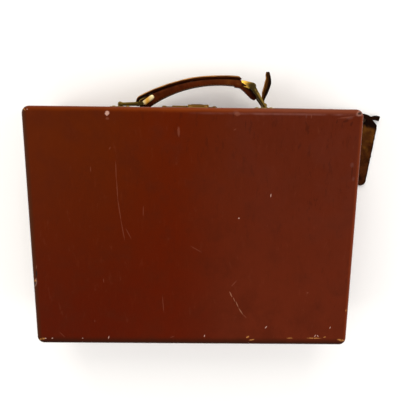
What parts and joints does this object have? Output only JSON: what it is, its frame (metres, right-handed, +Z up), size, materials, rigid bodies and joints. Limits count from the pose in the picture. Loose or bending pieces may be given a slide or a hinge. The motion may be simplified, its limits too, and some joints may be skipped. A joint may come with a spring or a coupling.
{
  "type": "toiletry case",
  "caption": "Flat leather-covered dressing case with a hinged lid on slotted stays, a hasp and sliding lock, a link-mounted leather handle and a luggage label.",
  "frame": {"origin": "centre of the base's underside, on the surface that the case lies on", "axes": "+Z up through the lid, +X to the left along the front as the handle side is faced, -Y out of the front wall that carries the handle and the lock"},
  "size_m": [0.4328, 0.3331, 0.1],
  "materials": {
    "case_leather": "polished, worn at the edges",
    "handle_leather": "dark, rubbed",
    "strap_leather": "dry",
    "label_leather": "dull",
    "loop_leather": "satin",
    "wood": "plain",
    "lining": "ribbed cloth",
    "card": "plain",
    "steel": "plain",
    "brass": "tarnished, bright where rubbed"
  },
  "bodies": {
    "base": {"base_frame": "wood", "base_board": "wood", "base_bottom_leather": "case_leather", "base_wall_leather": "case_leather", "base_lip": "wood", "base_lining": "lining", "base_loop_1": "loop_leather", "base_loop_2": "loop_leather", "base_loop_3": "loop_leather", "base_loop_4": "loop_leather", "base_loop_rivets": "brass", "hinge_base_leaf_left": "brass", "hinge_base_leaf_right": "brass", "hinge_base_screws": "brass", "hinge_pin_left": "brass", "hinge_pin_right": "brass", "stay_base_stud_left": "brass", "stay_base_stud_right": "brass", "handle_plate_left": "brass", "handle_plate_right": "brass", "handle_plate_rivets": "brass", "lock_plate": "brass", "lock_case": "brass", "lock_rivets": "brass", "strap_loose_end": "strap_leather"},
    "lid": {"lid_frame": "wood", "lid_board": "wood", "lid_leather": "case_leather", "lid_lining": "lining", "lid_loops": "loop_leather", "lid_loop_rivets": "brass", "hinge_lid_leaf_left": "brass", "hinge_lid_leaf_right": "brass", "hinge_lid_screws": "brass", "stay_lid_stud_left": "brass", "stay_lid_stud_right": "brass", "hasp_plate": "brass", "hasp_rivets": "brass", "hasp_pin": "brass"},
    "hasp": {"hasp": "brass", "hasp_staple": "brass"},
    "lock_slide": {"lock_button": "brass", "lock_bolt": "brass"},
    "stay_left": {"stay_arm_left": "brass"},
    "stay_right": {"stay_arm_right": "brass"},
    "link_left": {"handle_link_left": "brass"},
    "link_right": {"handle_link_right": "brass"},
    "handle": {"handle_grip": "handle_leather", "handle_top_strip": "handle_leather", "handle_core": "steel", "handle_eye_left": "brass", "handle_eye_right": "brass", "handle_tab": "handle_leather"},
    "label": {"label_back": "label_leather", "label_card": "card", "label_front": "label_leather", "label_strap": "strap_leather", "label_stud": "brass"}
  },
  "joints": [
    {"name": "lid_hinge", "type": "hinge", "parent": "base", "child": "lid", "pos_m": [0, 0.1449, 0.07015], "axis": [-1, 0, 0], "range_deg": [0, 100]},
    {"name": "hasp_flip", "type": "hinge", "parent": "lid", "child": "hasp", "pos_m": [-0.00525, -0.1444, 0.073], "axis": [-1, 0, 0], "range_deg": [0, 120]},
    {"name": "lock_slide", "type": "slide", "parent": "base", "child": "lock_slide", "axis": [1, 0, 0], "range_m": [0, 0.006]},
    {"name": "stay_left_pivot", "type": "hinge", "parent": "lid", "child": "stay_left", "pos_m": [0.179, 0.10986, 0.07915], "axis": [-1, 0, 0], "range_deg": [-50, 0]},
    {"name": "stay_right_pivot", "type": "hinge", "parent": "lid", "child": "stay_right", "pos_m": [-0.179, 0.10986, 0.07915], "axis": [-1, 0, 0], "range_deg": [-50, 0]},
    {"name": "link_left_pivot", "type": "hinge", "parent": "base", "child": "link_left", "pos_m": [0.0915, -0.1467, 0.034], "axis": [0, 0, 1], "range_deg": [0, 34]},
    {"name": "handle_pivot", "type": "hinge", "parent": "link_left", "child": "handle", "pos_m": [0.06407, -0.14862, 0.034], "axis": [0, 0, 1], "range_deg": [-41.8, 0]},
    {"name": "link_right_pivot", "type": "hinge", "parent": "base", "child": "link_right", "pos_m": [-0.0865, -0.1467, 0.034], "axis": [0, 0, 1], "range_deg": [0, 11.3]},
    {"name": "label_swing", "type": "hinge", "parent": "base", "child": "label", "pos_m": [-0.0865, -0.1467, 0.02], "axis": [0, 0, 1], "range_deg": [0, 70]}
  ],
  "couplings": [
    {"joint": "stay_left_pivot", "follows": "lid_hinge", "ratio": -0.5},
    {"joint": "stay_right_pivot", "follows": "lid_hinge", "ratio": -0.5},
    {"joint": "handle_pivot", "follows": "link_left_pivot", "ratio": -1.2274},
    {"joint": "link_right_pivot", "follows": "link_left_pivot", "ratio": 0.3297}
  ]
}
